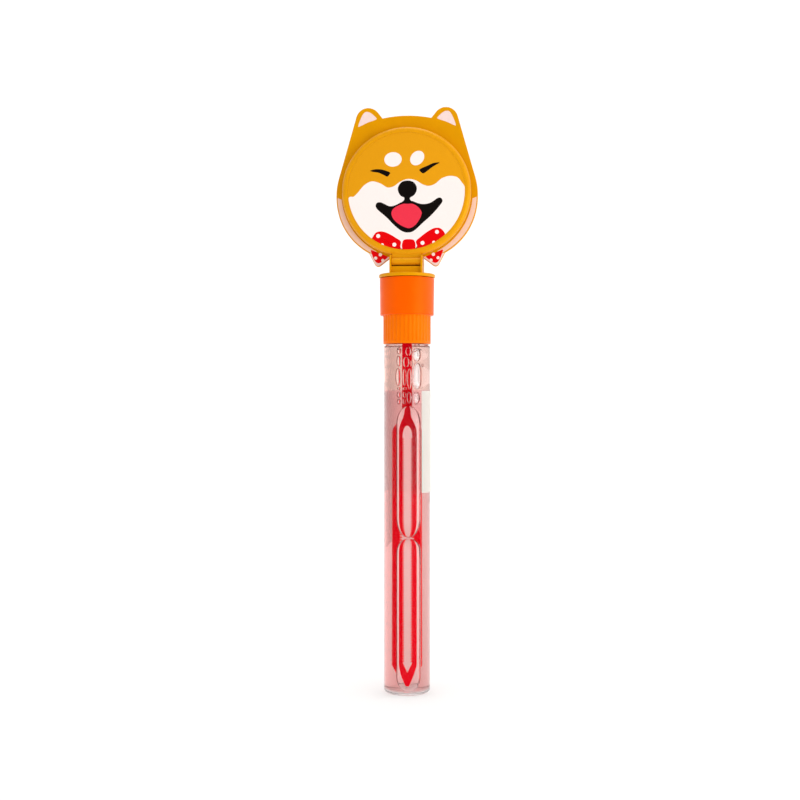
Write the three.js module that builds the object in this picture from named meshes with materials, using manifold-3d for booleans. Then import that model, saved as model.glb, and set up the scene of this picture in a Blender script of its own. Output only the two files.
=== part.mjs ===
// A bubble stick with a dog-head hand clapper: a clear screw-neck tube of bubble solution, a toothed
// loop wand that hangs from the cap, and on the cap's collar a flat dog head with a hinged round leaf
// on each side that claps against it. Millimetres, +Z up, the face looks along -Y, and the origin is
// the centre of the tube's base.
import * as THREE from 'three';
import { mergeVertices } from 'three/addons/utils/BufferGeometryUtils.js';
import Module from 'manifold-3d';

const wasm = await Module();
wasm.setup();

// Clearances
const fitGap = 0.3;
const threadRoom = 0.5;
const hingeSideGap = 0.4;
const pinFit = 0.2;
const clapGap = 0.5;
const capFloat = 0.6;
const wandRoom = 0.5;
const wandTipGap = 0.9;
const filmGap = 0.15;
const weld = 0.8;

// Tube
const tubeRadius = 14.65;
const tubeWall = 1.2;
const tubeFloor = 2;
const baseFillet = 2;
const innerFillet = 1.4;
const bodyHeight = 219.8;
const shoulderRise = 0.8;
const neckRadius = 13.2;
const neckLength = 16.2;

// Label film and bubble solution
const filmThickness = 0.25;
const filmHeight = 65;
const filmDrop = 28;
const solutionDrop = 2;

// Cap, its liner ring and the collar
const sealThickness = 1;
const capWall = 1.4;
const deckThickness = 1.8;
const capRingHeight = 6.5;
const capRingWall = 1.6;
const fluteCount = 36;
const fluteDepth = 0.35;
const ridgeShare = 0.56;
const ridgeFootShare = 0.8;
const collarOverlap = 1;
const collarWall = 1.95;
const collarDraft = 0.3;
const collarHeight = 23.6;
const collarChamfer = 0.4;
const ledgeThickness = 1.6;
const ledgeReach = 3.4;

// Wand
const wandThickness = 3;
const loopLength = 175;
const loopHalfWidth = 6.6;
const legWidth = 3.3;
const tipHalfWidth = 1.1;
const tipTaper = 14.5;
const shoulderTaper = 13;
const crotchDepth = 9.4;
const shoulderCrotch = 8.4;
const archRise = 7.5;
const stemHalfWidth = 2.2;
const toothPitch = 1.68;
const toothDepth = 0.75;
const plugRadius = 2.8;
const plugLength = 8.6;
const socketWall = 1.9;

// Head plate, its flange and its neck
const flangeThickness = 2.2;
const flangeOverhang = 0.55;
const flangeRound = 0.7;
const spigotLength = 11;
const spigotWall = 1.6;
const neckWidth = 20.8;
const sidePlate = 1.2;
const neckBaseHeight = 3.3;
const neckSlot = 1.9;
const sidePlateRound = 4.4;
const plateThickness = 2.6;
const plateBevel = 0.5;
const headHalfWidth = 45.2;
const headHalfHeight = 42.4;
const cheekFullness = 0.94;
const headDrop = 1.5;
const earLean = THREE.MathUtils.degToRad(16);
const earTipRadius = 7.9;
const earRise = 56.1;
const earFootInset = 9.2;
const earFootRise = 49.3;
const crownRise = 50.9;
const bowReach = 18.3;
const bowDrop = 42.9;
const bowTipRadius = 2.4;
const bowOuterReach = 24.3;
const bowInnerDrop = 39.4;

// Clapper leaves, their hinge pins and the printed face card
const pinRadius = 1.2;
const pinDepth = 8;
const barrelRadius = 2.4;
const strapThickness = 2;
const strapRootRise = 4;
const leafRise = 44.4;
const leafRadius = 41;
const leafDepth = 6.5;
const leafEdge = 2.8;
const leafFace = 1.6;
const leafRim = 1.8;
const ribThickness = 1.2;
const ribSetback = 1;
const ribCount = 6;
const ribRingRadius = 17;
const cardRadius = 36.9;
const cardThickness = 0.5;

// Facets
const roundSides = 40;
const leafSides = 56;
const pinSides = 20;
const filletSteps = 4;
const edgeSteps = 5;
const bevelSteps = 2;
const cheekSteps = 16;
const tipSteps = 8;
const crownSteps = 4;
const quarter = Math.PI / 2;

// Heights that follow from the sizes above
const shoulderTop = bodyHeight + shoulderRise;
const tubeTop = shoulderTop + neckLength;
const neckBore = neckRadius - tubeWall;
const tubeBore = tubeRadius - tubeWall;
const sealBottom = tubeTop + fitGap;
const deckBottom = sealBottom + sealThickness + fitGap;
const deckTop = deckBottom + deckThickness;
const capBottom = shoulderTop + capFloat;
const capTop = deckTop + capRingHeight;
const capBore = neckRadius + threadRoom;
const capRadius = capBore + capWall;
const collarBore = capRadius + fitGap;
const collarRadius = collarBore + collarWall;
const collarBottom = deckBottom + collarOverlap;
const collarTop = collarBottom + collarHeight;
const flangeBottom = collarTop + fitGap;
const flangeTop = flangeBottom + flangeThickness;
const flangeRadius = collarRadius + flangeOverhang;
const neckBaseTop = flangeTop + neckBaseHeight;
const neckHalf = neckWidth / 2;
const webHalf = neckHalf - sidePlate / 2;
const pinHeight = neckBaseTop + neckSlot + barrelRadius;
const leafCentre = pinHeight + leafRise;
const headCentre = leafCentre - headDrop;
const leafBack = plateThickness / 2 + clapGap;
const leafFront = leafBack + leafDepth;
const cardRecess = cardThickness + fitGap;
const faceBack = leafFront - cardRecess - leafFace;
const rimBore = leafRadius - leafRim;
const strapHalf = neckHalf - sidePlate - hingeSideGap;
const pinHole = pinRadius + pinFit;

// A closed geometry as a solid that can be joined and cut
function solid(geometry) {
  const bare = geometry.clone();
  bare.deleteAttribute('normal');
  bare.deleteAttribute('uv');
  const merged = mergeVertices(bare);
  const triangles = [];
  const index = merged.index.array;
  for (let i = 0; i < index.length; i += 3) {
    const [a, b, c] = index.slice(i, i + 3);
    if (a !== b && b !== c && c !== a) {
      triangles.push(a, b, c);
    }
  }
  const vertProperties = new Float32Array(merged.attributes.position.array);
  const triVerts = new Uint32Array(triangles);
  return new wasm.Manifold(new wasm.Mesh({ numProp: 3, vertProperties, triVerts }));
}

function geometryOf(manifold) {
  const mesh = manifold.getMesh();
  const geometry = new THREE.BufferGeometry();
  geometry.setAttribute('position', new THREE.BufferAttribute(mesh.vertProperties, 3));
  geometry.setIndex(new THREE.BufferAttribute(mesh.triVerts, 1));
  geometry.computeVertexNormals();
  return geometry;
}

function piece(name, manifold, material) {
  const mesh = new THREE.Mesh(geometryOf(manifold), material);
  mesh.name = name;
  return mesh;
}

const point = (x, y) => new THREE.Vector2(x, y);

// Points of an elliptic arc between two angles, both ends included
function arc(centre, radiusX, radiusY, from, to, steps) {
  return Array.from({ length: steps + 1 }, (_, i) => {
    const angle = THREE.MathUtils.lerp(from, to, i / steps);
    return point(centre.x + radiusX * Math.cos(angle), centre.y + radiusY * Math.sin(angle));
  });
}

// Direction of the line from a point that touches a circle, which then lies on the given side
function tangentDirection(from, centre, radius, side) {
  const reach = centre.clone().sub(from);
  return Math.atan2(reach.y, reach.x) + side * Math.asin(radius / reach.length());
}

// A profile of (radius, height) points turned about +Z
function revolve(profile, sides = roundSides) {
  const geometry = new THREE.LatheGeometry(profile, sides);
  geometry.rotateX(Math.PI / 2);
  return solid(geometry);
}

// A ring's profile closes on itself
function revolveRing(profile, sides) {
  return revolve([...profile, profile[0].clone()], sides);
}

// An outline in X and Z with its thickness across Y, centred on the XZ plane
function upright(shape, thickness, bevel = 0) {
  const geometry = new THREE.ExtrudeGeometry(shape, {
    depth: thickness - 2 * bevel,
    bevelEnabled: bevel > 0,
    bevelThickness: bevel,
    bevelSize: bevel,
    bevelOffset: -bevel,
    bevelSegments: bevelSteps,
  });
  geometry.translate(0, 0, bevel - thickness / 2);
  geometry.rotateX(Math.PI / 2);
  return solid(geometry);
}

// An outline in Y and Z extruded along X, centred on the given X
function sideways(shape, width, centreX) {
  const geometry = new THREE.ExtrudeGeometry(shape, { depth: width, bevelEnabled: false });
  geometry.translate(0, 0, centreX - width / 2);
  const turn = new THREE.Matrix4().makeBasis(
    new THREE.Vector3(0, 1, 0),
    new THREE.Vector3(0, 0, 1),
    new THREE.Vector3(1, 0, 0),
  );
  geometry.applyMatrix4(turn);
  return solid(geometry);
}

function box(width, depth, height, x, y, z) {
  const geometry = new THREE.BoxGeometry(width, depth, height);
  geometry.translate(x, y, z);
  return solid(geometry);
}

// A rod along X
function rod(radius, length, y, z) {
  const geometry = new THREE.CylinderGeometry(radius, radius, length, pinSides);
  geometry.rotateZ(Math.PI / 2);
  geometry.translate(0, y, z);
  return solid(geometry);
}

function plastic(color, roughness = 0.35) {
  return new THREE.MeshStandardMaterial({ color, roughness, metalness: 0 });
}

function clear(color, opacity) {
  const look = { color, opacity, roughness: 0.08, metalness: 0, transparent: true };
  return new THREE.MeshStandardMaterial(look);
}

const mustard = plastic('#e39a0c');
const leafMustard = plastic('#eba31c');
const orange = plastic('#ff6f08', 0.3);
const red = plastic('#e20026', 0.3);
const linerWhite = plastic('#f1ece6', 0.6);
const cardWhite = plastic('#fdf5f3', 0.4);
const pinSteel = new THREE.MeshStandardMaterial({ color: '#b9bcc0', roughness: 0.3, metalness: 1 });
const clearTube = clear('#f6e9e8', 0.3);
const clearFilm = clear('#ffffff', 0.2);
const solution = clear('#f3c9c6', 0.5);

// Clear tube: thick rounded base, straight wall, and a narrower neck above a sloping shoulder
function tube() {
  const floorFillet = point(tubeBore - innerFillet, tubeFloor + innerFillet);
  return revolve([
    point(0, 0),
    ...arc(point(tubeRadius - baseFillet, baseFillet), baseFillet, baseFillet, -quarter, 0, filletSteps),
    point(tubeRadius, bodyHeight),
    point(neckRadius, shoulderTop),
    point(neckRadius, tubeTop),
    point(neckBore, tubeTop),
    point(neckBore, shoulderTop - tubeWall / 2),
    point(tubeBore, bodyHeight - tubeWall / 2),
    ...arc(floorFillet, innerFillet, innerFillet, 0, -quarter, filletSteps),
    point(0, tubeFloor),
  ]);
}

// Clear film sleeve round the upper part of the tube
function labelFilm() {
  const top = bodyHeight - filmDrop;
  const bottom = top - filmHeight;
  const inner = tubeRadius + filmGap;
  const outer = inner + filmThickness;
  return revolveRing([point(inner, bottom), point(outer, bottom), point(outer, top), point(inner, top)]);
}

// Bubble solution standing round the channel in which the wand turns and lifts
function bubbleSolution() {
  const outer = tubeBore - fitGap;
  const channel = Math.hypot(loopHalfWidth, wandThickness / 2) + wandRoom;
  const bottom = tubeFloor + fitGap;
  const level = bodyHeight - solutionDrop;
  const floorFillet = point(outer - innerFillet, bottom + innerFillet);
  return revolveRing([
    point(channel, bottom),
    ...arc(floorFillet, innerFillet, innerFillet, -quarter, 0, filletSteps),
    point(outer, level),
    point(channel, level),
  ]);
}

// Soft liner ring between the tube's lip and the cap's deck
function capSeal() {
  const top = sealBottom + sealThickness;
  return revolveRing([
    point(neckBore, sealBottom),
    point(neckRadius, sealBottom),
    point(neckRadius, top),
    point(neckBore, top),
  ]);
}

// Fluted skirt of the cap, an outline with a shallow groove between each two grip ridges
function flutedSkirt() {
  const step = (2 * Math.PI) / fluteCount;
  const ridge = (step * ridgeShare) / 2;
  const foot = (step * ridgeFootShare) / 2;
  const onCircle = (radius, angle) => point(radius * Math.cos(angle), radius * Math.sin(angle));
  const outline = [];
  for (let i = 0; i < fluteCount; i += 1) {
    const middle = i * step;
    outline.push(
      onCircle(capRadius - fluteDepth, middle - foot),
      onCircle(capRadius, middle - ridge),
      onCircle(capRadius, middle + ridge),
      onCircle(capRadius - fluteDepth, middle + foot),
    );
  }
  const shape = new THREE.Shape(outline);
  shape.holes.push(new THREE.Path(arc(point(0, 0), capBore, capBore, 0, 2 * Math.PI, roundSides).slice(1)));
  const geometry = new THREE.ExtrudeGeometry(shape, { depth: deckTop - capBottom, bevelEnabled: false });
  geometry.translate(0, 0, capBottom);
  return solid(geometry);
}

// Screw cap: fluted skirt, deck with the wand's socket under it, and a ring above that the collar covers
function screwCap() {
  const socketRadius = plugRadius + fitGap;
  const socketBottom = deckBottom - plugLength - fitGap;
  const deck = revolve([
    point(0, deckBottom),
    point(socketRadius, deckBottom),
    point(socketRadius, socketBottom),
    point(socketRadius + socketWall, socketBottom),
    point(socketRadius + socketWall, deckBottom),
    point(capRadius - fluteDepth, deckBottom),
    point(capRadius, deckBottom + fluteDepth),
    point(capRadius, capTop),
    point(capRadius - capRingWall, capTop),
    point(capRadius - capRingWall, deckTop),
    point(0, deckTop),
  ]);
  return flutedSkirt().add(deck);
}

// Smooth collar that slips over the cap and takes the head's spigot, with a ledge between the two
function capCollar() {
  const ledgeBottom = capTop + fitGap;
  const ledgeTop = ledgeBottom + ledgeThickness;
  const ledgeBore = collarBore - ledgeReach;
  return revolveRing([
    point(collarBore, collarBottom),
    point(collarRadius - collarDraft - collarChamfer, collarBottom),
    point(collarRadius - collarDraft, collarBottom + collarChamfer),
    point(collarRadius, collarTop - collarChamfer),
    point(collarRadius - collarChamfer, collarTop),
    point(collarBore, collarTop),
    point(collarBore, ledgeTop),
    point(ledgeBore, ledgeTop),
    point(ledgeBore, ledgeBottom),
    point(collarBore, ledgeBottom),
  ]);
}

// Wand: a long loop with a pointed tip and an arched top, toothed along its inner edges, on a flat stem
// with a round plug
function bubbleWand() {
  const tip = tubeFloor + wandTipGap;
  const loopTop = tip + loopLength;
  const plugTop = deckBottom - fitGap;
  const plugBottom = plugTop - plugLength;
  const right = [point(tipHalfWidth, tip), point(loopHalfWidth, tip + tipTaper)];
  for (let i = 0; i <= edgeSteps; i += 1) {
    const share = i / edgeSteps;
    const drawnIn = THREE.MathUtils.smoothstep(share, 0, 1);
    const halfWidth = THREE.MathUtils.lerp(loopHalfWidth, stemHalfWidth, drawnIn);
    right.push(point(halfWidth, loopTop - shoulderTaper * (1 - share)));
  }
  right.push(point(stemHalfWidth, plugBottom + weld));
  const mirrored = (points) => points.map(({ x, y }) => point(-x, y)).reverse();
  const shape = new THREE.Shape([...right, ...mirrored(right)]);

  const gapHalf = loopHalfWidth - legWidth;
  const toothedFrom = tip + tipTaper + toothPitch;
  const archFoot = loopTop - shoulderCrotch - archRise;
  const toothCount = Math.floor((archFoot - toothedFrom) / toothPitch);
  const edge = [];
  for (let i = 0; i < toothCount; i += 1) {
    const root = toothedFrom + i * toothPitch;
    edge.push(point(gapHalf, root), point(gapHalf - toothDepth, root + toothPitch / 2));
  }
  edge.push(point(gapHalf, toothedFrom + toothCount * toothPitch));
  const low = point(0, tip + crotchDepth);
  const arch = arc(point(0, archFoot), gapHalf, archRise, 0, 2 * quarter, 2 * edgeSteps);
  shape.holes.push(new THREE.Path([low, ...edge, ...arch, ...mirrored(edge)]));

  const plug = new THREE.CylinderGeometry(plugRadius, plugRadius, plugLength, pinSides);
  plug.rotateX(Math.PI / 2);
  plug.translate(0, 0, plugBottom + plugLength / 2);
  return upright(shape, wandThickness).add(solid(plug));
}

// Point of the cheek's outline, an ellipse that is fuller below its middle
function cheekPoint(angle) {
  const fullness = angle < 0 ? cheekFullness : 1;
  const rise = headHalfHeight * Math.sign(angle) * Math.abs(Math.sin(angle)) ** fullness;
  return point(headHalfWidth * Math.cos(angle) ** fullness, headCentre + rise);
}

// Right half of the dog head's outline, from the neck round the bow tip, cheek and ear to the crown
function headHalfOutline() {
  const bowTip = point(bowReach, headCentre - bowDrop);
  const bowInner = point(webHalf, headCentre - bowInnerDrop);
  const cheekFrom = -Math.acos((bowOuterReach / headHalfWidth) ** (1 / cheekFullness));
  const cheekTo = Math.atan((Math.tan(earLean) * headHalfHeight) / headHalfWidth);
  const cheek = Array.from({ length: cheekSteps + 1 }, (_, i) => {
    return cheekPoint(THREE.MathUtils.lerp(cheekFrom, cheekTo, i / cheekSteps));
  });
  const cheekEnd = cheek[cheek.length - 1];
  const earNormal = point(Math.cos(earLean), Math.sin(earLean));
  const earHeight = headCentre + earRise - earTipRadius;
  const earOffset = cheekEnd.dot(earNormal) - earTipRadius - earHeight * earNormal.y;
  const earTip = point(earOffset / earNormal.x, earHeight);
  const earFoot = point(earTip.x - earFootInset, headCentre + earFootRise);
  const intoBow = tangentDirection(bowInner, bowTip, bowTipRadius, -1) - 5 * quarter;
  const outOfBow = tangentDirection(cheek[0], bowTip, bowTipRadius, 1) - 3 * quarter;
  const downEar = tangentDirection(earFoot, earTip, earTipRadius, 1) + quarter;
  const crownDrop = crownRise - earFootRise;
  const crown = [];
  for (let i = crownSteps - 1; i > 0; i -= 1) {
    const share = i / crownSteps;
    crown.push(point(earFoot.x * share, headCentre + crownRise - crownDrop * share * share));
  }
  return [
    point(webHalf, flangeTop - weld),
    bowInner,
    ...arc(bowTip, bowTipRadius, bowTipRadius, intoBow, outOfBow, tipSteps),
    ...cheek,
    ...arc(earTip, earTipRadius, earTipRadius, earLean, downEar, tipSteps),
    earFoot,
    ...crown,
  ];
}

// Side plate of the neck, in Y and Z, rounded over both hinge pins
function sidePlateShape() {
  const front = point(pinDepth, pinHeight);
  const back = point(-pinDepth, pinHeight);
  return new THREE.Shape([
    point(-pinDepth - sidePlateRound, flangeTop - weld),
    point(pinDepth + sidePlateRound, flangeTop - weld),
    ...arc(front, sidePlateRound, sidePlateRound, 0, quarter, edgeSteps),
    ...arc(back, sidePlateRound, sidePlateRound, quarter, 2 * quarter, edgeSteps),
  ]);
}

// Round flange that sits on the collar, with the hollow spigot below it
function flangeAndSpigot() {
  const spigotRadius = collarBore - fitGap;
  const spigotBottom = flangeBottom - spigotLength;
  const spigotBore = spigotRadius - spigotWall;
  const rimTop = point(flangeRadius - flangeRound, flangeTop - flangeRound);
  const rimBottom = point(flangeRadius - flangeRound, flangeBottom + flangeRound);
  return revolve([
    point(0, flangeBottom - spigotWall),
    point(spigotBore, flangeBottom - spigotWall),
    point(spigotBore, spigotBottom),
    point(spigotRadius, spigotBottom),
    point(spigotRadius, flangeBottom),
    ...arc(rimBottom, flangeRound, flangeRound, -quarter, 0, filletSteps),
    ...arc(rimTop, flangeRound, flangeRound, 0, quarter, filletSteps),
    point(0, flangeTop),
  ]);
}

// Dog-head plate with its neck, flange and spigot, one moulding
function headPlate() {
  const half = headHalfOutline();
  const left = half.map(({ x, y }) => point(-x, y)).reverse();
  const crownTop = point(0, headCentre + crownRise);
  let head = upright(new THREE.Shape([...half, crownTop, ...left]), plateThickness, plateBevel);
  for (const side of [-1, 1]) {
    head = head.add(sideways(sidePlateShape(), sidePlate, side * webHalf));
  }
  const baseDepth = 2 * (pinDepth + barrelRadius);
  const baseHeight = neckBaseHeight + weld;
  head = head.add(box(2 * webHalf, baseDepth, baseHeight, 0, 0, neckBaseTop - baseHeight / 2));
  head = head.add(flangeAndSpigot());
  for (const side of [-1, 1]) {
    head = head.subtract(rod(pinHole, 2 * neckWidth, side * pinDepth, pinHeight));
  }
  return head;
}

// Shallow round tray of a clapper leaf, its face towards -Y, with ribs inside
function leafTray() {
  const recessRadius = cardRadius + fitGap;
  const edge = point(leafRadius - leafEdge, leafFront - leafEdge);
  const tray = [
    point(0, faceBack),
    point(rimBore, faceBack),
    point(rimBore, leafBack),
    point(leafRadius, leafBack),
    ...arc(edge, leafEdge, leafEdge, 0, quarter, edgeSteps),
    point(recessRadius, leafFront),
    point(recessRadius, leafFront - cardRecess),
    point(0, leafFront - cardRecess),
  ];
  const ribBack = leafBack + ribSetback;
  const ribFront = faceBack + leafFace / 2;
  let leaf = revolve(tray, leafSides).add(
    revolveRing([
      point(ribRingRadius, ribBack),
      point(ribRingRadius + ribThickness, ribBack),
      point(ribRingRadius + ribThickness, ribFront),
      point(ribRingRadius, ribFront),
    ]),
  );
  const ribFrom = ribRingRadius + ribThickness / 2;
  const ribTo = rimBore + leafRim / 2;
  for (let i = 0; i < ribCount; i += 1) {
    const rib = box(ribTo - ribFrom, ribThickness, ribFront - ribBack, (ribFrom + ribTo) / 2, 0, 0);
    const turned = rib.rotate([0, 0, ((i + 0.5) * 360) / ribCount]);
    leaf = leaf.add(turned.translate([0, 0, (ribFront + ribBack) / 2]));
  }
  return leaf.rotate([90, 0, 0]).translate([0, 0, leafCentre]);
}

// Clapper leaf: the tray with a strap down to its hinge barrel
function clapper() {
  const strapBack = pinDepth - barrelRadius;
  const strapTop = leafCentre - rimBore + strapRootRise;
  const strapHeight = strapTop - pinHeight;
  const strapY = -(strapBack + strapThickness / 2);
  const strap = box(2 * strapHalf, strapThickness, strapHeight, 0, strapY, pinHeight + strapHeight / 2);
  return leafTray()
    .add(strap)
    .add(rod(barrelRadius, 2 * strapHalf, -pinDepth, pinHeight))
    .subtract(rod(pinHole, 2 * neckWidth, -pinDepth, pinHeight));
}

// Printed face card in the front leaf's shallow recess
function faceCard() {
  const back = leafFront - cardThickness;
  const profile = [
    point(0, back),
    point(cardRadius, back),
    point(cardRadius, leafFront),
    point(0, leafFront),
  ];
  return revolve(profile, leafSides).rotate([90, 0, 0]).translate([0, 0, leafCentre]);
}

const toy = new THREE.Group();

const bottle = new THREE.Group();
bottle.add(piece('tube', tube(), clearTube));
bottle.add(piece('label_film', labelFilm(), clearFilm));
bottle.add(piece('bubble_solution', bubbleSolution(), solution));

const cap = new THREE.Group();
cap.add(piece('cap_seal', capSeal(), linerWhite));
cap.add(piece('screw_cap', screwCap(), orange));
cap.add(piece('cap_collar', capCollar(), orange));
cap.add(piece('bubble_wand', bubbleWand(), red));
cap.add(piece('head_plate', headPlate(), mustard));

const frontLeaf = new THREE.Group();
const rearLeaf = new THREE.Group();
rearLeaf.rotation.z = Math.PI;
for (const [side, leaf] of [['front', frontLeaf], ['rear', rearLeaf]]) {
  leaf.add(piece(`${side}_clapper`, clapper(), leafMustard));
  leaf.add(piece(`${side}_hinge_pin`, rod(pinRadius, neckWidth - fitGap, -pinDepth, pinHeight), pinSteel));
}
frontLeaf.add(piece('face_card', faceCard(), cardWhite));

toy.add(bottle, cap, frontLeaf, rearLeaf);

export default toy;
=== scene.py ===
import math

import bmesh
import bpy
from mathutils import Matrix, Vector


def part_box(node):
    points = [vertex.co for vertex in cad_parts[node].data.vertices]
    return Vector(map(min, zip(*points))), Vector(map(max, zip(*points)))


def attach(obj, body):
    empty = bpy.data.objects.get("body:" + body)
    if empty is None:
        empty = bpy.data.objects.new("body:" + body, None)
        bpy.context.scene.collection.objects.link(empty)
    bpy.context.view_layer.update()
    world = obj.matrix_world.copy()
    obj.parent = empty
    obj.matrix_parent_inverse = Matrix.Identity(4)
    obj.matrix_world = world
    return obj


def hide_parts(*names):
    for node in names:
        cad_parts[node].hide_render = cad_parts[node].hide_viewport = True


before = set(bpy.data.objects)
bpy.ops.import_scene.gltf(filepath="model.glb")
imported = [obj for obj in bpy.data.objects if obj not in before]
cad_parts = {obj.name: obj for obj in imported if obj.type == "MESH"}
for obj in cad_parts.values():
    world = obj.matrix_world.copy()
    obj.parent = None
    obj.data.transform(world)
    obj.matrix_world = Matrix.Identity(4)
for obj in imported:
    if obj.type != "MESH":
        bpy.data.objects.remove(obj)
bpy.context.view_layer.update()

# A bubble stick with a dog-head hand clapper. Everything is modelled in millimetres and in the CAD
# model's frame, +Z up and the face towards -Y, and each finished piece is scaled to metres once.
MM = 0.001
WELD = 0.001


def corners(node):
    """Low and high corner of a CAD node's box, in millimetres."""
    low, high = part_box(node)
    return low / MM, high / MM


tube_high = corners("tube")[1]
film_low, film_high = corners("label_film")
liquid_high = corners("bubble_solution")[1]
seal_low, seal_high = corners("cap_seal")
cap_low, cap_high = corners("screw_cap")
collar_low, collar_high = corners("cap_collar")
wand_low, wand_high = corners("bubble_wand")
head_low, head_high = corners("head_plate")
leaf_high = corners("front_clapper")[1]
card_low, card_high = corners("face_card")
pin_low, pin_high = corners("front_hinge_pin")

# Photograph's view: level, a little to the toy's left, the toy a few pixels right of the middle
CAMERA_DISTANCE = 746
CAMERA_HEIGHT = 185.6
CAMERA_TURN = math.radians(3.5)
CAMERA_LENS = 52.6
SENSOR = 36
FRAME_PIXELS = 800
TOY_OFFSET_PIXELS = 7

# Tube, film sleeve and solution; the meniscus is given as (distance from the wall, rise)
TUBE_WALL = 1.2
TUBE_FLOOR = 2
BASE_FILLET = 2
INNER_FILLET = 1.4
NECK_RADIUS = 13.2
NECK_LENGTH = 16.2
SHOULDER_RISE = 0.8
SHOULDER_ROUND = 0.6
WET_OVERLAP = 0.03
MENISCUS = [(0, 0.6), (0.5, 0.2), (2, 0)]
FROTH_RISE = 4.2
FILM_THICKNESS = 0.25
PANEL_FROM = math.radians(41)
PANEL_TO = math.radians(114)
PANEL_INSET = 0.4
PANEL_THICKNESS = 0.04

# Bubbles of air in the solution: the film of liquid in front of one and the depth of its rounded front
POCKET_FILM = 0.12
POCKET_FRONT = 0.7

# Thread of the neck and, a quarter turn's rise above it, of the cap
THREAD_START = 3.2
THREAD_PITCH = 4
THREAD_TURNS = 2.2
THREAD_HEIGHT = 0.42
THREAD_WIDTH = 0.9
THREAD_ROOT = 0.1

# Cap and collar
CAP_WALL = 1.4
DECK_THICKNESS = 1.8
CAP_RING_HEIGHT = 6.5
CAP_RING_WALL = 1.6
FLUTES = 36
FLUTE_DEPTH = 0.35
FLUTE_STEEPNESS = 1.6
FLUTE_FOOT = 1.9
FLUTE_FOOT_RUN = 0.5
FLUTE_TOP_RUN = 0.8
COLLAR_WALL = 1.95
COLLAR_DRAFT = 0.3
COLLAR_ROUND = 0.45
LEDGE_REACH = 3.4
LEDGE_THICKNESS = 1.6
FIT_GAP = 0.3
SOCKET_RADIUS = 3.1
SOCKET_WALL = 1.9

# Wand; a tooth's form is given as (share of the pitch, share of the depth)
LOOP_LENGTH = 175
LOOP_HALF = 6.6
LEG_WIDTH = 3.3
TIP_HALF = 1.1
TIP_TAPER = 14.5
TOP_TAPER = 13
TIP_CROTCH = 9.4
TOP_CROTCH = 8.4
ARCH_RISE = 7.5
STEM_HALF = 2.2
WAND_HALF_THICKNESS = 1.5
TOOTH_PITCH = 1.68
TOOTH_DEPTH = 1.15
TOOTH_FORM = [(0.08, 0), (0.26, 1), (0.56, 1), (0.74, 0)]
RIB_DEPTH = 0.18
PLUG_RADIUS = 2.8
PLUG_LENGTH = 8.6

# Head plate and neck
PLATE_THICKNESS = 2.6
PLATE_BEVEL = 0.5
HEAD_HALF_HEIGHT = 42.4
CHEEK_FULLNESS = 0.94
HEAD_DROP = 1.5
EAR_LEAN = math.radians(16)
EAR_TIP_RADIUS = 7.9
EAR_FOOT_INSET = 9.2
EAR_FOOT_RISE = 49.3
CROWN_RISE = 50.9
BOW_REACH = 18.3
BOW_DROP = 42.9
BOW_TIP_RADIUS = 2.4
BOW_OUTER_REACH = 24.3
BOW_INNER_DROP = 39.4
NECK_HALF = 10.4
SIDE_PLATE = 1.2
SIDE_PLATE_ROUND = 4.4
SIDE_PLATE_EDGE = 0.25
BASE_FIT = 0.75
FLANGE_THICKNESS = 2.2
FLANGE_ROUND = 0.7
SPIGOT_WALL = 1.6
ROOT = 0.8
PIN_FIT = 0.2
PIN_EDGE = 0.25
BORE_TOOL_EDGE = 0.1

# Clapper leaves
LEAF_EDGE = 2.8
LEAF_FACE = 1.6
LEAF_RIM = 1.8
CARD_RECESS = 0.8
CARD_SET = 0.1
CARD_BED = 0.05
CARD_FIT = 0.03
CARD_EDGE = 0.04
RIB_THICKNESS = 1.2
RIB_SETBACK = 1
RIB_EDGE = 0.15
RIBS = 6
RIB_RING = 17
STRAP_FIT = 0.12
STRAP_THICKNESS = 2
STRAP_ROOT = 4
BARREL_RADIUS = 2.4

# Corner radii that several mouldings share
FINE_ROUND = 0.2
EDGE_ROUND = 0.3
SOFT_ROUND = 0.4
FULL_ROUND = 0.5

# Facets
ROUND_STEPS = 128
LEAF_STEPS = 192
THREAD_STEPS = 72
BARREL_STEPS = 50
PIN_STEPS = 32
BORE_STEPS = 64
PLUG_STEPS = 48
PANEL_STEPS = 48
FLUTE_STEPS = 10
POCKET_STEPS = 32
CHEEK_STEPS = 48
EAR_STEPS = 20
BOW_STEPS = 12
CURVE_STEPS = 10
FILLET_STEPS = 5
FINE_FILLET_STEPS = 3
LEAF_FILLET_STEPS = 8
SIDE_FILLET_STEPS = 10

# Heights and places that follow
TUBE_RADIUS = tube_high.x
TUBE_TOP = tube_high.z
TUBE_BORE = TUBE_RADIUS - TUBE_WALL
NECK_BORE = NECK_RADIUS - TUBE_WALL
SHOULDER_TOP = TUBE_TOP - NECK_LENGTH
INNER_SHOULDER = SHOULDER_TOP - TUBE_WALL / 2
THREAD_BOTTOM = SHOULDER_TOP + THREAD_START
CAP_RADIUS = cap_high.x
CAP_BORE = CAP_RADIUS - CAP_WALL
DECK_TOP = cap_high.z - CAP_RING_HEIGHT
DECK_BOTTOM = DECK_TOP - DECK_THICKNESS
COLLAR_RADIUS = collar_high.x
COLLAR_BORE = COLLAR_RADIUS - COLLAR_WALL
PLUG_LOW = wand_high.z - PLUG_LENGTH
FLANGE_RADIUS = head_high.y
FLANGE_BOTTOM = collar_high.z + FIT_GAP
FLANGE_TOP = FLANGE_BOTTOM + FLANGE_THICKNESS
LEAF_CENTRE = (card_low.z + card_high.z) / 2
HEAD_CENTRE = LEAF_CENTRE - HEAD_DROP
HEAD_HALF_WIDTH = head_high.x
LEAF_RADIUS = leaf_high.x
LEAF_BACK = -leaf_high.y
LEAF_FRONT = -card_low.y
CARD_FRONT = LEAF_FRONT - CARD_SET
FACE_BACK = LEAF_FRONT - CARD_RECESS - LEAF_FACE
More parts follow.
